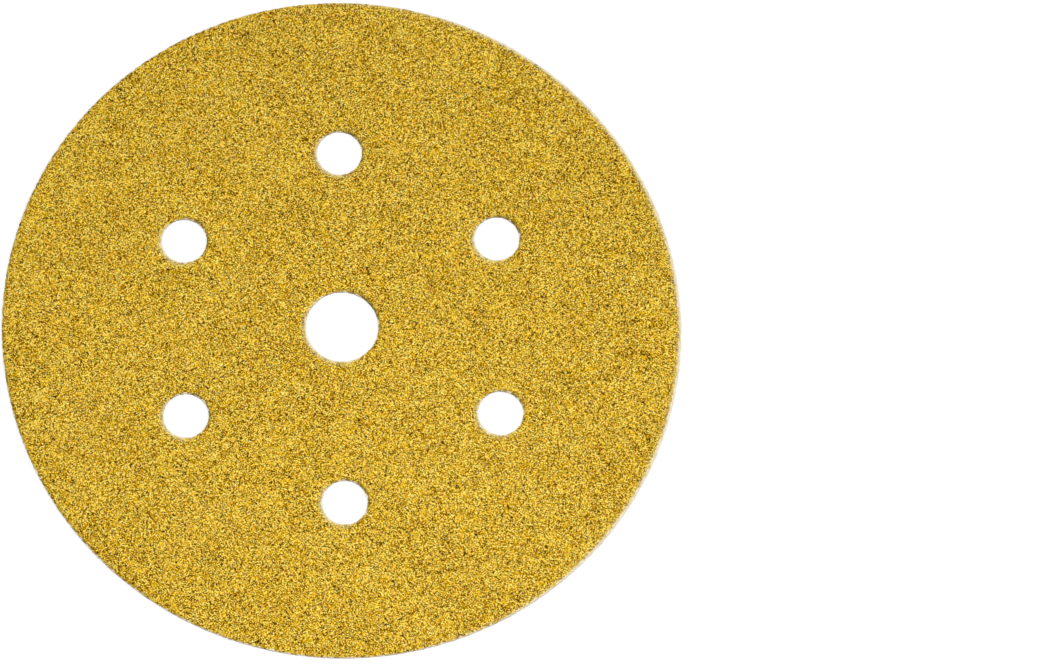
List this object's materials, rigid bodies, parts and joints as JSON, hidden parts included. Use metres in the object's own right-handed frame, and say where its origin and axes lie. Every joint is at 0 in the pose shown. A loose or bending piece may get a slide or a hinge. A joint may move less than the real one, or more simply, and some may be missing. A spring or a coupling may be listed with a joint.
{
  "type": "hook and loop sanding disc",
  "caption": "Round sanding disc with a gold grit face on paper, a pale loop fleece back, a centre hole and a ring of dust holes.",
  "frame": {"origin": "centre of the fleece's lower face, which rests on the surface under the disc", "axes": "+Z along the disc's axis and out through the grit face, +Y through one of the dust holes"},
  "size_m": [0.15, 0.15, 0.0012],
  "materials": {
    "fleece_loops": "brushed loop pile, matt",
    "paper_backing": "uncoated, matt",
    "grit_coat": "coarse grains under a resin coat"
  },
  "bodies": {
    "root": {"fleece_loops": "fleece_loops", "paper_backing": "paper_backing", "grit_coat": "grit_coat"}
  },
  "joints": []
}
